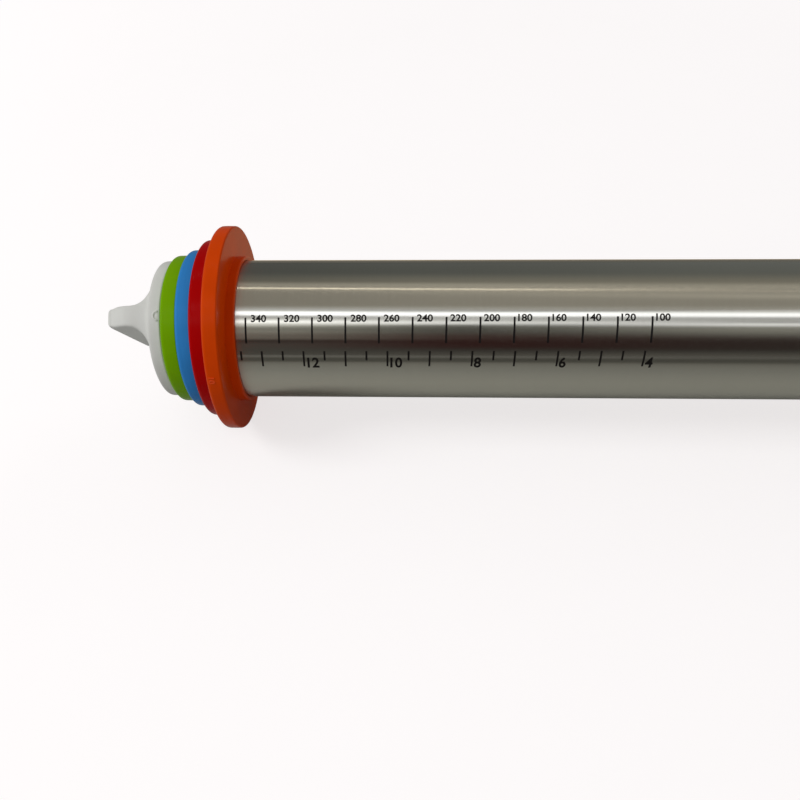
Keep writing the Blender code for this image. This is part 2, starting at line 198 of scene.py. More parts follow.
class RollingPinSizes(bpy.types.PropertyGroup):
    """Sizes of the pin's pieces."""

    tube_radius: length_property("Tube radius", "Outer radius of the steel tube", 22.25 * MM)
    tube_wall: length_property("Tube wall", "Thickness of the steel", 1.0 * MM)
    tube_edge: length_property("Tube edge", "Rounding of the tube's cut edges", 0.3 * MM)
    orange_step: length_property("Orange step", "Dough thickness on the orange rings", 10.6 * MM)
    red_step: length_property("Red step", "Dough thickness on the red rings", 6.3 * MM)
    blue_step: length_property("Blue step", "Dough thickness on the blue rings", 3.2 * MM)
    green_step: length_property("Green step", "Dough thickness on the green rings", 1.5 * MM)
    ring_thickness: length_property("Ring thickness", "Width of each ring's rim", RING_THICKNESS)
    ring_bore: length_property("Ring bore", "Radius of the hole for the stud", 6.5 * MM)
    ring_edge: length_property("Ring edge", "Rounding of the rims' edges", 1.1 * MM)
    lip_height: length_property("Lip height", "How far a ring's lip reaches over its neighbour", 2.7 * MM)
    lip_radius: length_property("Lip radius", "Outer radius of the rings' lips", 23.51 * MM)
    gap: length_property("Gap", "Clearance between neighbours", 0.3 * MM)
    figure_height: length_property("Rim figures", "Height of the figures on the rims", 1.9 * MM)
    figure_relief: length_property("Figure relief", "How far the figures stand out", 0.14 * MM)
    cap_height: length_property("Cap height", "Height of the cap with its wing", 18.45 * MM)
    flange_radius: length_property("Flange radius", "Radius of the cap's round flange", 22.0 * MM)
    flange_height: length_property("Flange height", "Height of the flange's wall", 3.7 * MM)
    flange_edge: length_property("Flange edge", "Rounding of the flange's edge", 0.5 * MM)
    wing_width: length_property("Wing width", "Width of the wing across the cap", 40.2 * MM)
    wing_thickness: length_property("Wing thickness", "Thickness of the wing", 7.0 * MM)
    wing_round: length_property("Wing rounding", "Rounding of the wing's top edge", 1.4 * MM)
    pip_radius: length_property("Pip radius", "Radius of the moulded pip on the flange", 1.65 * MM)
    left_turn: angle_property("Left wing", "How far the left wing is turned", 51.75)
    right_turn: angle_property("Right wing", "How far the right wing is turned", -128.0)
    stud_radius: length_property("Stud radius", "Radius of the thread's crests", 6.0 * MM)
    shank_radius: length_property("Shank radius", "Radius of the stud's shank in the cap", 2.2 * MM)
    thread_pitch: length_property("Thread pitch", "Travel of the cap in one turn", 3.0 * MM)
    thread_depth: length_property("Thread depth", "Depth of the thread", 1.3 * MM)
    line_width: length_property("Line width", "Width of the scale's lines", 0.58 * MM)
    millimetre_figures: length_property("Millimetre figures", "Height of their figures", 2.2 * MM)
    inch_figures: length_property("Inch figures", "Height of their figures", 3.5 * MM)


class RollingPinColours(bpy.types.PropertyGroup):
    """Colours of the pin's finishes."""

    steel: colour_property("Steel", "Stainless tube", "#c9c6ba")
    ink: colour_property("Ink", "Printed scale", "#14110f")
    orange: colour_property("Orange", "Largest rings", "#d54302")
    red: colour_property("Red", "Second rings", "#ad0002")
    blue: colour_property("Blue", "Third rings", "#3486ce")
    green: colour_property("Green", "Smallest rings", "#76ac01")
    white: colour_property("White", "Winged caps", "#dcddd8")
    plug: colour_property("Plug", "Moulded plugs in the tube", "#c9c8c2")
    brass: colour_property("Brass", "Tapped bushes", "#c9a35a")
    zinc: colour_property("Zinc", "Plated studs", "#bfc1c2")
    rubber: colour_property("Rubber", "Seals", "#1a1a1a")
    silicone: colour_property("Silicone", "Washers under the caps", "#b9b9b4")


def grid_faces(rows, columns, close_rows=False, close_columns=True):
    """Cells of a grid: a point, the next in its row, and the two next to them in the next row."""
    index = np.arange(rows * columns).reshape(rows, columns)
    if close_rows:
        index = np.concatenate((index, index[:1]), axis=0)
    if close_columns:
        index = np.concatenate((index, index[:, :1]), axis=1)
    corners = (index[:-1, :-1], index[:-1, 1:], index[1:, 1:], index[1:, :-1])
    return np.stack(corners, axis=-1).reshape(-1, 4)


def pole_faces(row, pole):
    """Triangles that close a row of a grid with one point."""
    return np.stack((row, np.roll(row, -1), np.full_like(row, pole)), axis=-1)


def facing_outwards(points, face_sets):
    """Turns every face round if the sum of its corners' triple products, the volume, is negative."""
    volume = 0.0
    for faces in face_sets:
        corners = points[faces]
        for last in range(2, faces.shape[1]):
            cross = np.cross(corners[:, last - 1], corners[:, last])
            volume += float(np.sum(corners[:, 0] * cross))
    if volume < 0.0:
        return [faces[:, ::-1] for faces in face_sets]
    return face_sets


def fill_mesh(name, points, face_sets, smooth=True):
    """Puts whole arrays of points and faces into a mesh."""
    mesh = bpy.data.meshes.new(name)
    sizes = np.concatenate([np.full(len(faces), faces.shape[1]) for faces in face_sets])
    corners = np.concatenate([faces.ravel() for faces in face_sets])
    mesh.vertices.add(len(points))
    mesh.vertices.foreach_set("co", np.ascontiguousarray(points, dtype=np.float32).ravel())
    mesh.loops.add(len(corners))
    mesh.loops.foreach_set("vertex_index", corners.astype(np.int32))
    mesh.polygons.add(len(sizes))
    mesh.polygons.foreach_set("loop_start", (np.cumsum(sizes) - sizes).astype(np.int32))
    mesh.polygons.foreach_set("loop_total", sizes.astype(np.int32))
    mesh.polygons.foreach_set("use_smooth", np.full(len(sizes), smooth))
    mesh.update(calc_edges=True)
    mesh.validate()
    return mesh


def add_object(name, mesh, finish):
    """Object at the origin, with its place in its mesh."""
    made = bpy.data.objects.new(name, mesh)
    mesh.materials.append(finish)
    bpy.context.scene.collection.objects.link(made)
    return made


def add_piece(name, mesh, finish, body, nodes=()):
    """A piece of the pin, which rides on its body and stands for the nodes it replaces."""
    piece = add_object(name, mesh, finish)
    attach(piece, body)
    if nodes:
        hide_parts(*nodes)
    return piece


def rounded(corners, radii, steps=5):
    """Outline with an arc at each corner.

    The arc of radius r starts r / tan(half the corner's angle) from the corner, and its centre lies
    r / sin(half the angle) along the middle line. Points between the ends are slerped about that
    centre. A further point before and after each arc keeps the flats flat when they are shaded.
    """
    corners = np.array(corners, dtype=float)
    radii = np.array(radii, dtype=float)[:, None]
    to_last = np.roll(corners, 1, axis=0) - corners
    to_next = np.roll(corners, -1, axis=0) - corners
    to_last /= np.linalg.norm(to_last, axis=1, keepdims=True)
    to_next /= np.linalg.norm(to_next, axis=1, keepdims=True)
    half = np.arccos(np.clip(np.sum(to_last * to_next, axis=1, keepdims=True), -1.0, 1.0)) / 2.0
    reach = radii / np.tan(half)
    middle = to_last + to_next
    middle /= np.linalg.norm(middle, axis=1, keepdims=True)
    centre = corners + middle * radii / np.sin(half)
    start = corners + to_last * reach - centre
    end = corners + to_next * reach - centre
    sweep = math.pi - 2.0 * half
    share = np.linspace(0.0, 1.0, steps + 1)[None, :, None]
    spread = sweep[:, None, :]
    arc = np.sin((1.0 - share) * spread) * start[:, None] + np.sin(share * spread) * end[:, None]
    arc = centre[:, None] + arc / np.sin(spread)
    margin = reach + 0.3 * radii
    before = (corners + to_last * margin)[:, None]
    after = (corners + to_next * margin)[:, None]
    return np.concatenate((before, arc, after), axis=1).reshape(-1, 2)


def turned(outline, segments):
    """Outline of places along X and radii, carried round the X axis: (x, -r cos a, r sin a)."""
    angle = np.arange(segments) * FULL_TURN / segments
    along = np.repeat(outline[:, :1], segments, axis=1)
    across = -outline[:, 1:] * np.cos(angle)
    upward = outline[:, 1:] * np.sin(angle)
    return np.stack((along, across, upward), axis=-1).reshape(-1, 3)


def turned_mesh(name, outline, segments, side=None):
    """Closed ring whose section is the outline."""
    points = to_end(turned(outline, segments), side)
    faces = facing_outwards(points, [grid_faces(len(outline), segments, close_rows=True)])
    return fill_mesh(name, points, faces)


def to_end(points, side):
    """From the outward direction of an end to the frame: the left end is turned half round Z."""
    if side == "left":
        return points * np.array((-1.0, -1.0, 1.0))
    return points


def eased(places, knots, values):
    """Smooth curve through a table that never overshoots it.

    Each span is a cubic whose slope at a knot is the harmonic mean of the slopes on both sides, or
    level where they differ in sign.
    """
    steps = np.diff(knots)
    slopes = np.diff(values) / steps
    product = slopes[:-1] * slopes[1:]
    rising = product > 0.0
    mean = np.where(rising, 2.0 * product / np.where(rising, slopes[:-1] + slopes[1:], 1.0), 0.0)
    tangents = np.concatenate((slopes[:1], mean, slopes[-1:]))
    span = np.clip(np.searchsorted(knots, places, side="right") - 1, 0, len(steps) - 1)
    share = (places - knots[span]) / steps[span]
    rest = 1.0 - share
    start = rest**2 * ((1.0 + 2.0 * share) * values[span] + share * steps[span] * tangents[span])
    end = (1.0 + 2.0 * rest) * values[span + 1] - rest * steps[span] * tangents[span + 1]
    return start + share**2 * end


def smooth_step(low, high, value):
    """0 up to low, 1 from high, and 3 s^2 - 2 s^3 between them."""
    share = np.clip((value - low) / (high - low), 0.0, 1.0)
    return share * share * (3.0 - 2.0 * share)


def add_node(tree, kind, settings=None, links=None):
    """Adds a node, sets its properties or sockets by name or number, and links sockets to it."""
    node = tree.nodes.new(kind)
    for name, value in (settings or {}).items():
        if isinstance(name, int) or name in node.inputs:
            node.inputs[name].default_value = value
        else:
            setattr(node, name, value)
    for name, source in (links or {}).items():
        tree.links.new(source, node.inputs[name])
    return node


def new_finish(name, settings):
    """Material with a Principled shader that has these values. Returns it, its tree and the shader."""
    finish = bpy.data.materials.new(name)
    finish.use_nodes = True
    tree = finish.node_tree
    tree.nodes.clear()
    shader = add_node(tree, "ShaderNodeBsdfPrincipled", settings)
    add_node(tree, "ShaderNodeOutputMaterial", None, {"Surface": shader.outputs["BSDF"]})
    return finish, tree, shader


def pattern(tree, scale, detail=2.0, roughness=0.5):
    """Noise on object coordinates. The scale is the number of its grains to a metre along X, Y, Z."""
    place = add_node(tree, "ShaderNodeTexCoord")
    mapped = add_node(
        tree, "ShaderNodeMapping", {"Scale": scale}, {"Vector": place.outputs["Object"]}
    )
    settings = {"Scale": 1.0, "Detail": detail, "Roughness": roughness}
    noise = add_node(tree, "ShaderNodeTexNoise", settings, {"Vector": mapped.outputs["Vector"]})
    return noise.outputs["Fac"]


def ranged(tree, source, low, high, start=0.3, end=0.7):
    """Maps a pattern's values from start to end onto low to high."""
    settings = {"From Min": start, "From Max": end, "To Min": low, "To Max": high}
    return add_node(tree, "ShaderNodeMapRange", settings, {"Value": source}).outputs["Result"]


def shaded(tree, colour, source, darkest, lightest, start=0.3, end=0.7):
    """The colour times a level that runs from darkest to lightest as the source does to its end."""
    level = ranged(tree, source, darkest, lightest, start, end)
    settings = {"data_type": "RGBA", "blend_type": "MULTIPLY", 0: 1.0, 6: (*colour, 1.0)}
    return add_node(tree, "ShaderNodeMix", settings, {7: level}).outputs[2]


def bumped(tree, shader, source, strength, height):
    """Lets a pattern raise the surface by up to the height."""
    settings = {"Strength": strength, "Distance": height}
    bump = add_node(tree, "ShaderNodeBump", settings, {"Height": source})
    tree.links.new(bump.outputs["Normal"], shader.inputs["Normal"])


def brushed_stainless_steel(colours):
    """Drawn tube brushed on a lathe.

    The grit leaves fine lines round the tube, so reflections stay crisp round it and smear along
    it. Real lines are about 0.05 mm wide; they are drawn 0.4 mm wide so that they show.
    """
    settings = {"Metallic": 1.0, "Roughness": 0.18, "Anisotropic": 0.95, "Anisotropic Rotation": 0.25}
    finish, tree, shader = new_finish("stainless_steel_brushed", settings)
    lines = pattern(tree, (1.0 / (0.4 * MM), 24.0, 24.0), 3.0, 0.6)
    patches = pattern(tree, (18.0, 60.0, 60.0), 2.0)
    tree.links.new(shaded(tree, colours.steel, lines, 0.985, 1.01), shader.inputs["Base Color"])
    tree.links.new(ranged(tree, patches, 0.16, 0.20), shader.inputs["Roughness"])
    tangent = add_node(tree, "ShaderNodeTangent", {"direction_type": "RADIAL", "axis": "X"})
    tree.links.new(tangent.outputs["Tangent"], shader.inputs["Tangent"])
    bumped(tree, shader, lines, 0.12, 0.002 * MM)
    return finish


def screen_printed_ink(colours):
    """Two-part black ink, screen printed: matt, and a little thin in places."""
    finish, tree, shader = new_finish(
        "ink_screen_printed", {"Roughness": 0.55, "Specular IOR Level": 0.2}
    )
    cover = pattern(tree, (1.0 / (0.5 * MM),) * 3, 3.0)
    tree.links.new(shaded(tree, colours.ink, cover, 0.6, 1.2), shader.inputs["Base Color"])
    tree.links.new(ranged(tree, cover, 0.5, 0.62), shader.inputs["Roughness"])
    return finish


def moulded_plastic(name, colour, roughness, sheen=0.5):
    """Injection moulded plastic from a polished tool.

    It has an even colour with faint flow marks, a gloss that varies a little with handling, and
    a surface that waves by a few microns over about a millimetre.
    """
    settings = {"Roughness": roughness, "IOR": 1.5, "Specular IOR Level": sheen}
    finish, tree, shader = new_finish(name, settings)
    flow = pattern(tree, (90.0, 90.0, 90.0), 3.0)
    waves = pattern(tree, (1.0 / (1.2 * MM),) * 3, 2.0)
    tree.links.new(shaded(tree, colour, flow, 0.95, 1.04), shader.inputs["Base Color"])
    gloss = ranged(tree, flow, roughness * 0.9, roughness * 1.12)
    tree.links.new(gloss, shader.inputs["Roughness"])
    bumped(tree, shader, waves, 0.2, 0.012 * MM)
    return finish


def plain_metal(name, colour, roughness, line_spacing):
    """Turned metal: faint tool lines across its axis, and dull patches from handling."""
    finish, tree, shader = new_finish(name, {"Metallic": 1.0, "Roughness": roughness})
    lines = pattern(tree, (1.0 / line_spacing, 40.0, 40.0), 2.0)
    patches = pattern(tree, (160.0, 160.0, 160.0), 3.0)
    tree.links.new(shaded(tree, colour, patches, 0.9, 1.05), shader.inputs["Base Color"])
    gloss = ranged(tree, patches, roughness * 0.85, roughness * 1.2)
    tree.links.new(gloss, shader.inputs["Roughness"])
    bumped(tree, shader, lines, 0.25, 0.01 * MM)
    return finish


def moulded_rubber(name, colour, roughness):
    """Moulded elastomer: matt, with a fine spark-eroded grain of about 0.3 mm."""
    finish, tree, shader = new_finish(name, {"Roughness": roughness, "IOR": 1.45})
    grain = pattern(tree, (1.0 / (0.3 * MM),) * 3, 3.0)
    tree.links.new(shaded(tree, colour, grain, 0.88, 1.1), shader.inputs["Base Color"])
    bumped(tree, shader, grain, 0.35, 0.02 * MM)
    return finish


def ring_finish(colour_name, colours, polished=False):
    """Moulded plastic of one ring colour.

    Its figures come from a polished insert in the tool, so they are glossier; their colour is made lighter
    as a painted highlight, so that they read as glints.
    """
    name = "polypropylene_moulded_" + colour_name
    colour = np.array(getattr(colours, colour_name))
    roughness, sheen = 0.2, 0.06
    if polished:
        name += "_polished_painted_highlight"
        # Painted highlight: the figures' colour is made lighter than the ring's own colour.
        colour = np.minimum(1.25 * colour + 0.008, 1.0)
        roughness, sheen = 0.12, 0.4
    made = bpy.data.materials.get(name)
    return made or moulded_plastic(name, tuple(colour), roughness, sheen)


def written(text, height, width_share, relief=0.0):
    """Points and triangles of a word of this height, whose width is a share of the font's own."""
    curve = bpy.data.curves.new("writing", "FONT")
    curve.body = text
    curve.extrude = relief
    curve.offset = 0.028
    curve.resolution_u = 5
    holder = bpy.data.objects.new("writing", curve)
    bpy.context.scene.collection.objects.link(holder)
    bpy.context.view_layer.update()
    graph = bpy.context.evaluated_depsgraph_get()
    mesh = bpy.data.meshes.new_from_object(holder.evaluated_get(graph))
    bpy.data.objects.remove(holder)
    bpy.data.curves.remove(curve)
    shape = bmesh.new()
    shape.from_mesh(mesh)
    bpy.data.meshes.remove(mesh)
    bmesh.ops.remove_doubles(shape, verts=shape.verts[:], dist=0.0001)
    bmesh.ops.triangulate(shape, faces=shape.faces[:])
    for share in np.linspace(0.0, 0.8, 9):
        whole = shape.verts[:] + shape.edges[:] + shape.faces[:]
        bmesh.ops.bisect_plane(shape, geom=whole, plane_co=(0.0, share, 0.0), plane_no=(0.0, 1.0, 0.0))
    for place in np.arange(0.1, 0.8 * len(text), 0.1):
        whole = shape.verts[:] + shape.edges[:] + shape.faces[:]
        bmesh.ops.bisect_plane(shape, geom=whole, plane_co=(place, 0.0, 0.0), plane_no=(1.0, 0.0, 0.0))
    bmesh.ops.triangulate(shape, faces=shape.faces[:])
    shape.verts.index_update()
    points = np.array([vertex.co for vertex in shape.verts])
    faces = np.array([[vertex.index for vertex in face.verts] for face in shape.faces])
    shape.free()
    low, high = points.min(axis=0), points.max(axis=0)
    scale = height / (high[1] - low[1])
    points = points - np.array((low[0], low[1], 0.0))
    return points * np.array((scale * width_share, scale, 1.0)), faces


def on_tube(along, elevation, radius):
    """Point on the tube: X as given, and an elevation from the side of the user upwards."""
    return np.stack((along, -radius * np.cos(elevation), radius * np.sin(elevation)), axis=-1)


def print_slant(along):
    """The print isn't quite in line with the tube: it climbs by 1.25 degrees in 100 mm."""
    return 12.5 * DEGREE * (along + 88.0 * MM)


def joined(parts):
    """One set of points and faces from several."""
    starts = np.cumsum([0] + [len(part[0]) for part in parts[:-1]])
    points = np.concatenate([part[0] for part in parts])
    faces = np.concatenate([part[1] + start for start, part in zip(starts, parts)])
    return points, faces


def scale_lines(places, tops, bottoms, width, radius):
    """Lines across the tube: each is a strip of nine points on both sides of its place."""
    share = np.linspace(0.0, 1.0, 9)
    elevation = tops[:, None] + (bottoms - tops)[:, None] * share
    elevation = np.repeat(elevation[:, :, None], 2, axis=2)
    along = places[:, None, None] + np.array((-0.5, 0.5)) * width
    along = np.broadcast_to(along, elevation.shape)
    points = on_tube(along, elevation, radius).reshape(-1, 3)
    strip = grid_faces(len(share), 2, close_columns=False)
    starts = np.arange(len(places))[:, None, None] * len(share) * 2
    return points, (strip[None] + starts).reshape(-1, 4)


def split(quads):
    """Two triangles for each face of four corners."""
    return np.concatenate((quads[:, (0, 1, 2)], quads[:, (0, 2, 3)]))


def cap_rows(sizes):
    """Height, radius and half thickness of the cap's rows, from pole to pole, and the wall's first row.

    The rows climb out of the shank's bore, over the washer's recess and the ring-shaped pocket to the
    flange, then up its wall, through the concave flare and round the wing's top edge. The first and
    the last corner of the underside only close its outline, so their points are left out.
    """
    flange = sizes.flange_radius
    bore = sizes.shank_radius + sizes.gap
    corners = (
        (CAP_BORE_DEPTH, bore * 0.02),
        (CAP_BORE_DEPTH, bore),
        (CAP_RECESS_DEPTH, bore),
        (CAP_RECESS_DEPTH, CAP_RECESS_RADIUS),
        (0.0, CAP_RECESS_RADIUS),
        (0.0, CAP_POCKET_RADIUS),
        (CAP_POCKET_DEPTH, CAP_POCKET_RADIUS),
        (CAP_POCKET_DEPTH, flange - CAP_POCKET_WALL),
        (0.0, flange - CAP_POCKET_WALL),
        (0.0, flange),
        (sizes.flange_height, flange),
    )
    radii = np.array((0.01, 0.3, 0.3, 0.2, 0.2, 0.3, 0.5, 0.5, 0.3, 0.5, 0.01)) * MM
    radii[9] = sizes.flange_edge
    steps = 4
    dropped = steps + 3
    under = rounded(corners, radii, steps)[dropped:-dropped]
    top = sizes.cap_height - sizes.wing_round
    share = np.concatenate((np.linspace(-0.10, 0.12, 50), np.linspace(0.13, 1.0, 56)))
    height = sizes.flange_height + share * (top - sizes.flange_height)
    wall = np.linspace(sizes.flange_edge * 1.6, height[0] - 0.1 * MM, 20)
    radius = eased(share, FLARE[:, 0], FLARE[:, 1]) * sizes.wing_width / 2.0
    flat = eased(share, FLARE[:, 0], FLARE[:, 2]) * sizes.wing_thickness / 2.0
    turn = np.linspace(0.0, math.pi / 2.0, 11)[1:]
    inward = sizes.wing_round * (1.0 - np.cos(turn))
    shrink = np.linspace(0.96, 0.04, 9)
    heights = (under[:, 0], wall, height, top + sizes.wing_round * np.sin(turn))
    radii = (under[:, 1], np.full(len(wall), flange), radius, radius[-1] - inward)
    flats = (np.full(len(under) + len(wall), NO_FLAT), flat, flat[-1] - inward)
    heights = np.concatenate((*heights, np.full(len(shrink), sizes.cap_height)))
    radii = np.concatenate((*radii, (radius[-1] - inward[-1]) * shrink))
    flats = np.concatenate((*flats, (flat[-1] - inward[-1]) * shrink))
    return np.stack((heights, radii, flats), axis=-1), len(under)


def cap_points(sizes, turn):
    """Points of the cap.

    A row is a circle of radius r that two flats at half thickness h cut off: at the angle a its
    radius is r / (1 + (r |sin a| / h)^p)^(1/p), so p rounds the corners between them. Ribs fill the
    pocket near four angles, and a round pip stands on the flange's wall by the wing's edge.
    """
    rows, under = cap_rows(sizes)
    near_pip = PIP_ANGLE + np.linspace(-6.0, 6.0, 49) * DEGREE
    even = np.arange(272) * FULL_TURN / 272.0
    angle = np.arctan2(0.5 * np.sin(even), np.cos(even)) % FULL_TURN
    away = np.abs(angle - PIP_ANGLE) > 6.1 * DEGREE
    angle = np.sort(np.concatenate((angle[away], near_pip)))
    height = np.repeat(rows[:, :1], len(angle), axis=1)
    cut = (rows[:, 1:2] * np.abs(np.sin(angle)) / rows[:, 2:]) ** CORNER_POWER
    radius = rows[:, 1:2] * (1.0 + cut) ** (-1.0 / CORNER_POWER)
    reach = np.hypot(height - 0.6 * MM, sizes.flange_radius * (angle - PIP_ANGLE))
    on_wall = (np.arange(len(rows))[:, None] >= under) & (height <= sizes.flange_height)
    rim = np.exp(-(((reach - 0.84 * sizes.pip_radius) / (0.17 * sizes.pip_radius)) ** 2))
    pad = 1.0 - smooth_step(0.84 * sizes.pip_radius, 1.1 * sizes.pip_radius, reach)
    radius = radius + np.where(on_wall, 0.28 * MM * rim + 0.1 * MM * pad, 0.0)
    from_rib = np.abs((angle + math.pi / 4.0) % (math.pi / 2.0) - math.pi / 4.0) * radius
    rib = 1.0 - smooth_step(1.1 * MM, 1.6 * MM, from_rib)
    pocket_end = sizes.flange_radius - CAP_POCKET_WALL
    in_pocket = (radius > CAP_POCKET_RADIUS - 0.1 * MM) & (radius < pocket_end + 0.1 * MM)
    in_pocket = in_pocket & (np.arange(len(rows))[:, None] < under)
    height = np.where(in_pocket, height * (1.0 - 0.85 * rib), height)
    y, z = -radius * np.cos(angle), radius * np.sin(angle)
    turned_y = y * math.cos(turn) - z * math.sin(turn)
    turned_z = y * math.sin(turn) + z * math.cos(turn)
    points = np.stack((height + CAP_SEAT, turned_y, turned_z), axis=-1)
    return points.reshape(-1, 3), len(rows), len(angle)


def closed_mesh(name, points, rows, columns, ends, side):
    """Grid whose first and last rows are closed by a point each."""
    points = to_end(np.concatenate((points, np.array(ends))), side)
    last = rows * columns
    face_sets = [
        grid_faces(rows, columns),
        np.concatenate(
            (
                pole_faces(np.arange(columns)[::-1], last),
                pole_faces(np.arange(last - columns, last), last + 1),
            )
        ),
    ]
    return fill_mesh(name, points, facing_outwards(points, face_sets))


def stud_points(sizes):
    """Points of the stud: its radius rises from root to crest with the screw's phase.

    The phase is x / pitch less the turn about X, so its crest climbs as a right-hand thread. It starts
    on a cone, runs out below the shoulder and ends in a plain shank.
    """
    columns = 72
    shoulder = STUD_HEAD - SHANK_LENGTH
    edge = shoulder + np.array((-0.35, -0.3, -0.1, 0.0)) * MM
    shank = shoulder + np.array((0.001, 0.05, 0.3)) * MM
    thread = np.linspace(STUD_TIP, shoulder - 0.4 * MM, 250)
    along = np.concatenate((thread, edge, shank, np.linspace(shank[-1], STUD_HEAD, 6)[1:]))
    angle = np.arange(columns) * FULL_TURN / columns
    phase = (along[:, None] / sizes.thread_pitch - angle / FULL_TURN) % 1.0
    crest = smooth_step(0.3, 0.72, np.abs(2.0 * phase - 1.0))
    run_out = smooth_step(shoulder - 2.6 * MM, shoulder - 1.4 * MM, along)[:, None]
    radius = sizes.stud_radius - sizes.thread_depth * (1.0 - np.maximum(crest, run_out))
    cone = sizes.stud_radius - 1.5 * MM + (along - STUD_TIP)[:, None]
    bevel = sizes.stud_radius - np.maximum(along - shoulder + 0.3 * MM, 0.0)[:, None]
    radius = np.minimum(np.minimum(radius, cone), bevel)
    radius = np.where((along > shoulder)[:, None], sizes.shank_radius, radius)
    x = np.repeat(along[:, None], columns, axis=1)
    points = np.stack((x, radius * np.cos(angle), radius * np.sin(angle)), axis=-1)
    return points.reshape(-1, 3), len(along), columns


class ROLLINGPIN_OT_tube(bpy.types.Operator):
    """Make the brushed steel tube"""

    bl_idname = "rolling_pin.tube"
    bl_label = "Tube"

    def execute(self, context):
        sizes = context.scene.rolling_pin_sizes
        inner = sizes.tube_radius - sizes.tube_wall
        corners = (
            (-TUBE_END, inner),
            (-TUBE_END, sizes.tube_radius),
            (TUBE_END, sizes.tube_radius),
            (TUBE_END, inner),
        )
        outline = rounded(corners, [sizes.tube_edge] * 4)
        mesh = turned_mesh("steel_tube", outline, 320)
        finish = brushed_stainless_steel(context.scene.rolling_pin_colours)
        add_piece("steel_tube", mesh, finish, "barrel", ("barrel_tube",))
        return {"FINISHED"}


class ROLLINGPIN_OT_scale(bpy.types.Operator):
    """Print the dough diameters on the tube, in millimetres and in inches"""

    bl_idname = "rolling_pin.scale"
    bl_label = "Printed scale"

    def execute(self, context):
        sizes = context.scene.rolling_pin_sizes
        radius = sizes.tube_radius + INK_THICKNESS
        millimetres = np.arange(340, 99, -20)
        halves = millimetres / 2.0 * MM
        places = np.concatenate((-halves, halves))
        tops = np.full(len(places), 50.0 * DEGREE) + print_slant(places)
        bottoms = np.full(len(places), 30.2 * DEGREE) + print_slant(places)
        lines, faces = scale_lines(places, tops, bottoms, sizes.line_width, radius)
        parts = [(lines, split(faces))]
        inches = np.arange(27, 7, -1)
        halves = inches / 4.0 * 25.4 * MM
        places = np.concatenate((-halves, halves)) + INCH_SHIFT
        whole = np.tile(inches % 2 == 0, 2)
        tops = np.full(len(places), 23.9 * DEGREE) + print_slant(places)
        bottoms = np.where(whole, 10.9, 16.2) * DEGREE + print_slant(places)
        lines, faces = scale_lines(places, tops, bottoms, sizes.line_width, radius)
        parts.append((lines, split(faces)))
        rows = (
            [(value, value / 2.0 * MM, 0.0) for value in millimetres],
            [(value, value * 12.7 * MM, INCH_SHIFT) for value in (12, 10, 8, 6, 4)],
        )
        looks = (
            (sizes.millimetre_figures, 1.09, 46.5 * DEGREE, 1.62 * MM),
            (sizes.inch_figures, 0.95, 9.7 * DEGREE, 1.0 * MM),
        )
        for row, (height, width_share, foot, space) in zip(rows, looks):
            for value, half, shift in row:
                points, triangles = written(str(int(value)), height, width_share)
                gap = space * (0.62 + 0.38 * smooth_step(95.0 * MM, 150.0 * MM, half))
                for side in (-1, 1):
                    start = gap if side < 0 else -gap - points[:, 0].max()
                    along = side * half + shift + start + points[:, 0]
                    elevation = foot + points[:, 1] / radius + print_slant(side * half)
                    parts.append((on_tube(along, elevation, radius), triangles))
        points, faces = joined(parts)
        outward = points[faces[:, 0]] * np.array((0.0, 1.0, 1.0))
        normal = np.cross(
            points[faces[:, 1]] - points[faces[:, 0]], points[faces[:, 2]] - points[faces[:, 0]]
        )
        inward = np.sum(normal * outward, axis=1) < 0.0
        faces = np.where(inward[:, None], faces[:, ::-1], faces)
        finish = screen_printed_ink(context.scene.rolling_pin_colours)
        add_piece("printed_scale", fill_mesh("printed_scale", points, [faces]), finish, "barrel")
        return {"FINISHED"}


class ROLLINGPIN_OT_rings(bpy.types.Operator):
    """Make the four nested thickness rings of each end"""

    bl_idname = "rolling_pin.rings"
    bl_label = "Thickness rings"

    def execute(self, context):
        sizes = context.scene.rolling_pin_sizes
        colours = context.scene.rolling_pin_colours
        thick = sizes.ring_thickness
        lip_in = sizes.tube_radius + 0.05 * MM
        deep = thick - sizes.lip_height - sizes.gap
        for number, (colour, _, _) in enumerate(RINGS):
            rim = sizes.tube_radius + getattr(sizes, colour + "_step")
            inner_edge = min(0.45 * sizes.ring_edge, 0.6 * (rim - sizes.lip_radius))
            corners = [
                (0.0, sizes.ring_bore, 0.3 * MM),
                (0.0, lip_in, 0.03 * MM),
                (-sizes.lip_height, lip_in, 0.2 * MM),
                (-sizes.lip_height, sizes.lip_radius, 0.4 * MM),
                (0.0, sizes.lip_radius, 0.03 * MM),
                (0.0, rim - 0.05 * MM, inner_edge),
                (0.5 * thick, rim, 2.0 * MM),
                (thick, rim - 0.05 * MM, sizes.ring_edge),
            ]
            if colour != "green":
                corners += [
                    (thick, sizes.lip_radius + sizes.gap, 0.15 * MM),
                    (deep, sizes.lip_radius + sizes.gap, 0.1 * MM),
                    (deep, sizes.tube_radius, 0.1 * MM),
                    (thick, sizes.tube_radius, 0.15 * MM),
                ]
            corners.append((thick, sizes.ring_bore, 0.3 * MM))
            corners = np.array(corners)
            outline = rounded(corners[:, :2], corners[:, 2])
            outline[:, 0] += FIRST_RING_FACE + number * RING_PITCH
            for side in SIDES:
                name = side + "_" + colour + "_ring_moulding"
                mesh = turned_mesh(name, outline, 200, side)
                node = side + "_" + colour + "_ring"
                finish = ring_finish(colour, colours)
                add_piece(name, mesh, finish, side + "_" + colour, (node,))
        return {"FINISHED"}


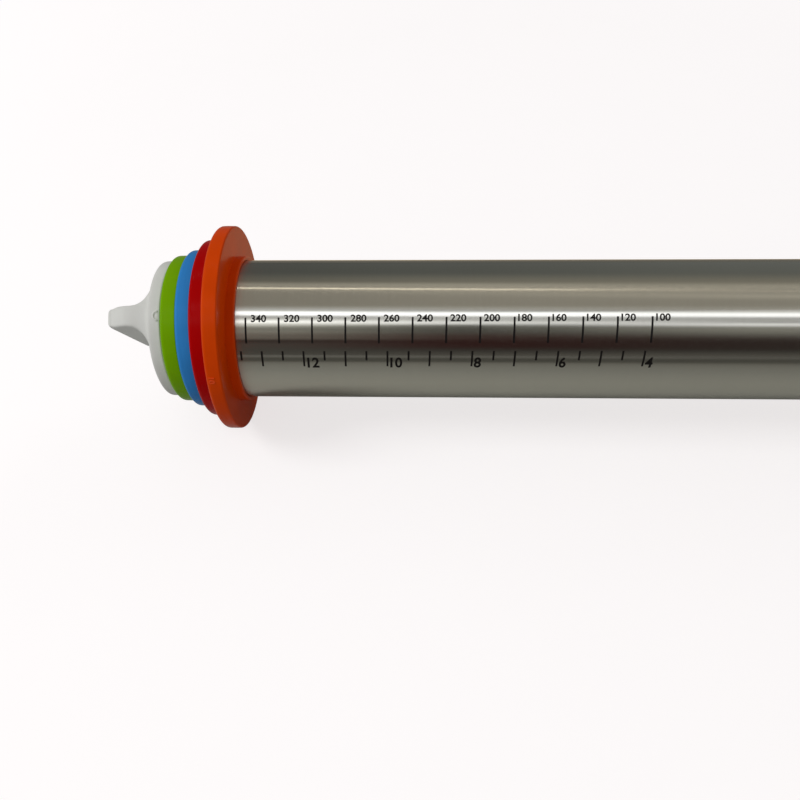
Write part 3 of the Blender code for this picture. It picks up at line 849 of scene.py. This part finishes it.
class ROLLINGPIN_OT_figures(bpy.types.Operator):
    """Raise the dough thickness on each ring's rim"""

    bl_idname = "rolling_pin.figures"
    bl_label = "Rim figures"

    def execute(self, context):
        sizes = context.scene.rolling_pin_sizes
        colours = context.scene.rolling_pin_colours
        for number, (colour, figure, stands) in enumerate(RINGS):
            rim = sizes.tube_radius + getattr(sizes, colour + "_step")
            points, faces = written(figure, sizes.figure_height, 1.0, sizes.figure_relief)
            middle = FIRST_RING_FACE + number * RING_PITCH + 0.62 * sizes.ring_thickness
            along = middle + sizes.figure_height / 2.0 - points[:, 1]
            radius = rim + points[:, 2]
            run = points[:, 0] - points[:, 0].max() / 2.0
            for side, elevation in zip(SIDES, (stands * DEGREE, math.pi - stands * DEGREE)):
                angle = elevation - run / rim
                made = np.stack((along, radius * np.cos(angle), radius * np.sin(angle)), axis=-1)
                name = side + "_" + colour + "_rim_figure"
                made = to_end(made, side)
                mesh = fill_mesh(name, made, facing_outwards(made - made.mean(axis=0), [faces]), False)
                finish = ring_finish(colour, colours, polished=True)
                add_piece(name, mesh, finish, side + "_" + colour, ())
        return {"FINISHED"}


class ROLLINGPIN_OT_caps(bpy.types.Operator):
    """Make the winged screw caps"""

    bl_idname = "rolling_pin.caps"
    bl_label = "Winged caps"

    def execute(self, context):
        sizes = context.scene.rolling_pin_sizes
        colour = context.scene.rolling_pin_colours.white
        finish = moulded_plastic("abs_moulded_white", colour, 0.45, 0.35)
        for side, turn in zip(SIDES, (sizes.left_turn, sizes.right_turn)):
            points, rows, columns = cap_points(sizes, turn)
            ends = ((CAP_SEAT + CAP_BORE_DEPTH, 0.0, 0.0), (CAP_SEAT + sizes.cap_height, 0.0, 0.0))
            name = side + "_cap_moulding"
            mesh = closed_mesh(name, points, rows, columns, ends, side)
            add_piece(name, mesh, finish, side + "_cap", (side + "_wing_cap",))
        return {"FINISHED"}


class ROLLINGPIN_OT_studs(bpy.types.Operator):
    """Cut the threads on the studs"""

    bl_idname = "rolling_pin.studs"
    bl_label = "Threaded studs"

    def execute(self, context):
        sizes = context.scene.rolling_pin_sizes
        finish = plain_metal(
            "steel_zinc_plated", context.scene.rolling_pin_colours.zinc, 0.28, 0.3 * MM
        )
        points, rows, columns = stud_points(sizes)
        for side in SIDES:
            ends = ((STUD_TIP, 0.0, 0.0), (STUD_HEAD, 0.0, 0.0))
            name = side + "_threaded_stud"
            mesh = closed_mesh(name, points, rows, columns, ends, side)
            add_piece(name, mesh, finish, side + "_cap", (side + "_cap_stud",))
        return {"FINISHED"}


class ROLLINGPIN_OT_fittings(bpy.types.Operator):
    """Finish the plugs, seals, bushes and washers inside the ends"""

    bl_idname = "rolling_pin.fittings"
    bl_label = "Inner fittings"

    def execute(self, context):
        colours = context.scene.rolling_pin_colours
        finishes = {
            "end_plug": moulded_plastic("nylon_moulded_natural", colours.plug, 0.45),
            "plug_seal": moulded_rubber("nitrile_rubber_moulded", colours.rubber, 0.65),
            "thread_insert": plain_metal("brass_turned", colours.brass, 0.3, 0.35 * MM),
            "cap_washer": moulded_rubber("silicone_moulded", colours.silicone, 0.55),
        }
        for side in SIDES:
            for part, finish in finishes.items():
                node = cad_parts[side + "_" + part]
                node.data.materials.clear()
                node.data.materials.append(finish)
        return {"FINISHED"}


class ROLLINGPIN_OT_stage(bpy.types.Operator):
    """Set the floor, the reflected room, the lamps and the camera"""

    bl_idname = "rolling_pin.stage"
    bl_label = "Stage"

    def execute(self, context):
        scene = context.scene
        floor_height = min(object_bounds()[0][2], CAD_BOX[0][2]) - 0.02 * MM
        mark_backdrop(add_floor(floor_height), add_worktop(floor_height), add_room())
        add_world(scene)
        add_lamp(scene, "key_lamp", (-1.15, 75.0, 1.0), 0.6, 10.2)
        add_lamp(scene, "back_lamp", (1.0, 145.0, 1.2), 0.8, 3.5)
        add_lamp(scene, "front_lamp", (0.3, 1.0, 1.3), 0.6, 1.7)
        add_lamp(scene, "end_lamp", (0.75, 0.0, 0.0), 0.06, 1.0)
        add_camera(scene)
        scene.view_settings.view_transform = "Standard"
        return {"FINISHED"}


def combined(tree, operation, first, second):
    """Result of a sum, product or the like of two sources."""
    links = {0: first, 1: second}
    return add_node(tree, "ShaderNodeMath", {"operation": operation}, links).outputs[0]


def seen_ray(tree):
    """1 for rays from the camera and for rays that gloss or glass sends on, else 0."""
    rays = add_node(tree, "ShaderNodeLightPath").outputs
    seen = combined(tree, "MAXIMUM", rays["Is Camera Ray"], rays["Is Glossy Ray"])
    return combined(tree, "MAXIMUM", seen, rays["Is Transmission Ray"])


def flat_mesh(name, half, height):
    """Square plate that faces up."""
    corners = np.array(((-half, -half), (half, -half), (half, half), (-half, half)))
    points = np.column_stack((corners, np.full(4, height)))
    return fill_mesh(name, points, [np.array(((0, 1, 2, 3),))], False)


def add_floor(height):
    """White table: matt grey that adds a glow for the rays that show it, so that it keeps shadows.

    The glow rises from 0.4 to 2.2 m off the middle, where the lamps' own light fades.
    """
    finish, tree, shader = new_finish("table_white", {"Roughness": 0.9, "Specular IOR Level": 0.0})
    grain = pattern(tree, (40.0, 40.0, 40.0), 2.0)
    colour = (0.36, 0.36, 0.36)
    tree.links.new(shaded(tree, colour, grain, 0.995, 1.005), shader.inputs["Base Color"])
    shader.inputs["Emission Color"].default_value = (1.0, 0.968, 0.968, 1.0)
    place = add_node(tree, "ShaderNodeTexCoord")
    away = add_node(
        tree, "ShaderNodeVectorMath", {"operation": "LENGTH"}, {0: place.outputs["Object"]}
    )
    level = ranged(tree, away.outputs["Value"], 0.73, 0.89, 0.4, 2.2)
    glow = combined(tree, "MULTIPLY", seen_ray(tree), level)
    tree.links.new(glow, shader.inputs["Emission Strength"])
    finish.cycles.emission_sampling = "NONE"
    return add_object("floor", flat_mesh("floor", 6.0, height), finish)


def only_for_gloss(made):
    """Lets only reflections see a stage object."""
    made.visible_camera = False
    made.visible_diffuse = False
    made.visible_transmission = False
    made.visible_shadow = False
    made.visible_volume_scatter = False
    return made


def add_worktop(height):
    """Worktop that only reflections show: strips along X whose colour, with painted light and shade in it,
    is an attribute.
    """
    half = np.array((-3.0, 3.0))
    x = np.tile(half, (len(WORKTOP), 1))
    y = np.repeat(WORKTOP[:, :1], 2, axis=1)
    points = np.stack((x, y, np.full(x.shape, height + 0.01 * MM)), axis=-1).reshape(-1, 3)
    mesh = fill_mesh("worktop", points, [grid_faces(len(WORKTOP), 2, close_columns=False)], False)
    # Painted light and shade: the worktop's colours are lighter by the pin and darker further off.
    colours = np.column_stack((np.repeat(WORKTOP[:, 1:], 2, axis=0), np.ones(len(points))))
    mesh.attributes.new("paint", "FLOAT_COLOR", "POINT").data.foreach_set("color", colours.ravel())
    finish, tree, shader = new_finish("worktop_painted", {"Roughness": 0.8, "Specular IOR Level": 0.0})
    paint = add_node(tree, "ShaderNodeAttribute", {"attribute_name": "paint"})
    tree.links.new(paint.outputs["Color"], shader.inputs["Base Color"])
    return only_for_gloss(add_object("worktop", mesh, finish))


def add_room():
    """Room that only reflections show: a barrel vault round the X axis whose glow is an attribute.

    The glow is the sum of the bands. A band's soft edges are smooth steps in elevation, and between
    the left, the middle and the right its strength runs on smooth steps in X.
    """
    elevation = np.linspace(-14.0, 194.0, 833)
    along = np.concatenate(([-2.5, -1.5, -0.8], np.linspace(-0.5, 0.5, 31), [0.8, 1.5, 2.5]))
    from_left = smooth_step(-0.42, 0.0, along)
    from_middle = smooth_step(0.0, 0.45, along)
    glow = np.zeros((len(elevation), len(along), 4))
    for _, start, end, edge, lean, left, middle, right, red, blue in REFLECTED:
        height = elevation[:, None] + lean * (np.clip((along + 0.45) / 0.95, 0.0, 1.0) - 0.5)
        band = smooth_step(start - edge / 2.0, start + edge / 2.0, height)
        band = band * (1.0 - smooth_step(end - edge / 2.0, end + edge / 2.0, height))
        band = band * (left + (middle - left) * from_left + (right - middle) * from_middle)
        glow += band[:, :, None] * np.array((red, 1.0, blue, 0.0))
    glow[:, :, 3] = 1.0
    angle = np.repeat(elevation[:, None] * DEGREE, len(along), axis=1)
    x = np.repeat(along[None, :], len(elevation), axis=0)
    points = on_tube(x, angle, 1.0).reshape(-1, 3)
    faces = grid_faces(len(elevation), len(along), close_columns=False)
    mesh = fill_mesh("room", points, [faces])
    mesh.attributes.new("glow", "FLOAT_COLOR", "POINT").data.foreach_set("color", glow.ravel())
    finish = bpy.data.materials.new("room_glow")
    finish.use_nodes = True
    tree = finish.node_tree
    tree.nodes.clear()
    glow = add_node(tree, "ShaderNodeAttribute", {"attribute_name": "glow"})
    light = add_node(tree, "ShaderNodeEmission", None, {"Color": glow.outputs["Color"]})
    add_node(tree, "ShaderNodeOutputMaterial", None, {"Surface": light.outputs[0]})
    finish.cycles.emission_sampling = "NONE"
    return only_for_gloss(add_object("room", mesh, finish))


def add_world(scene):
    """White for the rays that show it, and a soft grey light for the rest."""
    world = bpy.data.worlds.new("studio")
    world.use_nodes = True
    tree = world.node_tree
    tree.nodes.clear()
    level = ranged(tree, seen_ray(tree), 0.34, 1.0, 0.0, 1.0)
    light = add_node(
        tree, "ShaderNodeBackground", {"Color": (1.0, 0.975, 0.975, 1.0)}, {"Strength": level}
    )
    add_node(tree, "ShaderNodeOutputWorld", None, {"Surface": light.outputs[0]})
    scene.world = world


def add_lamp(scene, name, place, size, power):
    """Square soft lamp, aimed at the pin's left half. Its place is X, an elevation and a distance."""
    data = bpy.data.lights.new(name, "AREA")
    data.size = size
    data.energy = power
    lamp = bpy.data.objects.new(name, data)
    elevation = place[1] * DEGREE
    spot = (place[0], -place[2] * math.cos(elevation), place[2] * math.sin(elevation))
    lamp.location = spot
    aim = Vector((-150.0 * MM, 0.0, 0.0)) - Vector(spot)
    lamp.rotation_euler = aim.to_track_quat("-Z", "Y").to_euler()
    lamp.visible_glossy = False
    scene.collection.objects.link(lamp)


def add_camera(scene):
    """Camera at the photograph's viewing angle."""
    data = bpy.data.cameras.new("camera")
    data.lens = 29.66
    data.sensor_width = 36.0
    data.shift_x = 0.0375
    data.shift_y = 0.05
    data.clip_start = 0.01
    data.clip_end = 50.0
    camera = bpy.data.objects.new("camera", data)
    turn = Matrix.Rotation(3.5 * DEGREE, 3, "Z") @ Matrix.Rotation(-49.46 * DEGREE, 3, "X")
    turn = turn @ Matrix.Rotation(2.17 * DEGREE, 3, "Y") @ Matrix.Rotation(math.pi / 2.0, 3, "X")
    camera.rotation_euler = turn.to_euler()
    away = 221.0 * MM
    height = 40.0 * DEGREE
    camera.location = (-124.58 * MM, -away * math.cos(height), away * math.sin(height))
    scene.collection.objects.link(camera)
    scene.camera = camera


class ROLLINGPIN_PT_panel(bpy.types.Panel):
    """The pin's sizes, colours and operators"""

    bl_idname = "ROLLINGPIN_PT_panel"
    bl_label = "Rolling pin"
    bl_space_type = "VIEW_3D"
    bl_region_type = "UI"
    bl_category = "Rolling pin"

    def draw(self, context):
        layout = self.layout
        for group in (context.scene.rolling_pin_sizes, context.scene.rolling_pin_colours):
            box = layout.box()
            for name in group.__annotations__:
                box.prop(group, name)
        for operator in OPERATORS:
            layout.operator(operator.bl_idname)


OPERATORS = (
    ROLLINGPIN_OT_tube,
    ROLLINGPIN_OT_scale,
    ROLLINGPIN_OT_rings,
    ROLLINGPIN_OT_figures,
    ROLLINGPIN_OT_caps,
    ROLLINGPIN_OT_studs,
    ROLLINGPIN_OT_fittings,
    ROLLINGPIN_OT_stage,
)
CLASSES = (RollingPinSizes, RollingPinColours, *OPERATORS, ROLLINGPIN_PT_panel)


def register():
    """Add the classes and the scene's two groups of properties."""
    for made in CLASSES:
        bpy.utils.register_class(made)
    bpy.types.Scene.rolling_pin_sizes = bpy.props.PointerProperty(type=RollingPinSizes)
    bpy.types.Scene.rolling_pin_colours = bpy.props.PointerProperty(type=RollingPinColours)


def unregister():
    """Take them away again."""
    del bpy.types.Scene.rolling_pin_colours
    del bpy.types.Scene.rolling_pin_sizes
    for made in reversed(CLASSES):
        bpy.utils.unregister_class(made)


def main():
    """Register, build the pin piece by piece and set the stage."""
    register()
    bpy.ops.rolling_pin.tube()
    bpy.ops.rolling_pin.scale()
    bpy.ops.rolling_pin.rings()
    bpy.ops.rolling_pin.figures()
    bpy.ops.rolling_pin.caps()
    bpy.ops.rolling_pin.studs()
    bpy.ops.rolling_pin.fittings()
    bpy.ops.rolling_pin.stage()


if __name__ == "__main__":
    main()
